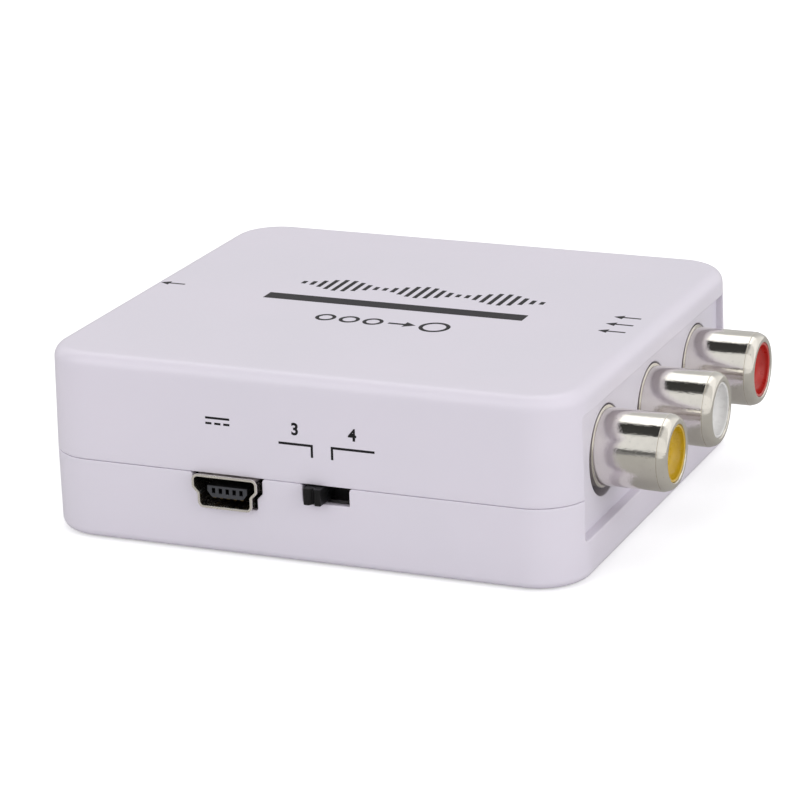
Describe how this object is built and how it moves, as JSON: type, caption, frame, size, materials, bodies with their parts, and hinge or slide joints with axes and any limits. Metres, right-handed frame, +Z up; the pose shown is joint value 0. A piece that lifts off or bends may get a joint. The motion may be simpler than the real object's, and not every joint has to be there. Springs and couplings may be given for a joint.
{
  "type": "rf modulator",
  "caption": "White box that puts composite video and stereo sound onto an aerial signal, with phono jacks, a threaded aerial socket, a power socket and a channel slide switch.",
  "frame": {"origin": "middle of the case's underside, on the surface it stands on", "axes": "+X towards the phono jacks, +Y to the back, away from the power socket and switch, +Z up"},
  "size_m": [0.0737, 0.0561, 0.0206],
  "materials": {
    "case_plastic": "satin moulded white plastic",
    "panel_plastic": "satin moulded white plastic",
    "nickel": "bright nickel plating",
    "tinned_steel": "tinned sheet",
    "contact_metal": "plated contact brass",
    "yellow_plastic": "gloss",
    "white_plastic": "gloss",
    "red_plastic": "gloss",
    "black_plastic": "moulded black",
    "grey_plastic": "moulded dark grey",
    "insulator_plastic": "waxy white",
    "brown_laminate": "pressed brown laminate",
    "board_laminate": "solder mask",
    "chip_black": "moulded",
    "can_aluminium": "bright can",
    "ferrite": "ferrite",
    "chip_ceramic": "ceramic"
  },
  "bodies": {
    "case": {"top_shell": "case_plastic", "bottom_shell": "case_plastic", "av_side_panel": "panel_plastic", "rf_side_panel": "panel_plastic", "circuit_board": "board_laminate", "jack_housing": "black_plastic", "yellow_jack_barrel": "nickel", "white_jack_barrel": "nickel", "red_jack_barrel": "nickel", "yellow_jack_insert": "yellow_plastic", "white_jack_insert": "white_plastic", "red_jack_insert": "red_plastic", "yellow_jack_contact": "contact_metal", "white_jack_contact": "contact_metal", "red_jack_contact": "contact_metal", "jack_ground_tags": "tinned_steel", "usb_shell": "nickel", "usb_insulator": "grey_plastic", "usb_contacts": "contact_metal", "switch_frame": "tinned_steel", "switch_base": "brown_laminate", "switch_terminals": "contact_metal", "rf_socket_barrel": "nickel", "rf_socket_insulator": "insulator_plastic", "rf_socket_contact": "contact_metal", "modulator_shield": "tinned_steel", "shield_lid": "tinned_steel", "modulator_chip": "chip_black", "modulator_chip_legs": "tinned_steel", "tuning_coil_can": "tinned_steel", "tuning_slug": "ferrite", "crystal": "tinned_steel", "capacitor_cans": "can_aluminium", "capacitor_bases": "black_plastic", "voltage_regulator": "chip_black", "regulator_leads": "tinned_steel", "power_inductor": "ferrite", "transistors": "chip_black", "chip_resistors": "chip_black", "chip_capacitors": "chip_ceramic"},
    "switch_knob": {"switch_slider": "black_plastic", "switch_wiper": "contact_metal"}
  },
  "joints": [
    {"name": "channel_switch_slide", "type": "slide", "parent": "case", "child": "switch_knob", "axis": [1, 0, 0], "range_m": [0, 0.0023]}
  ]
}
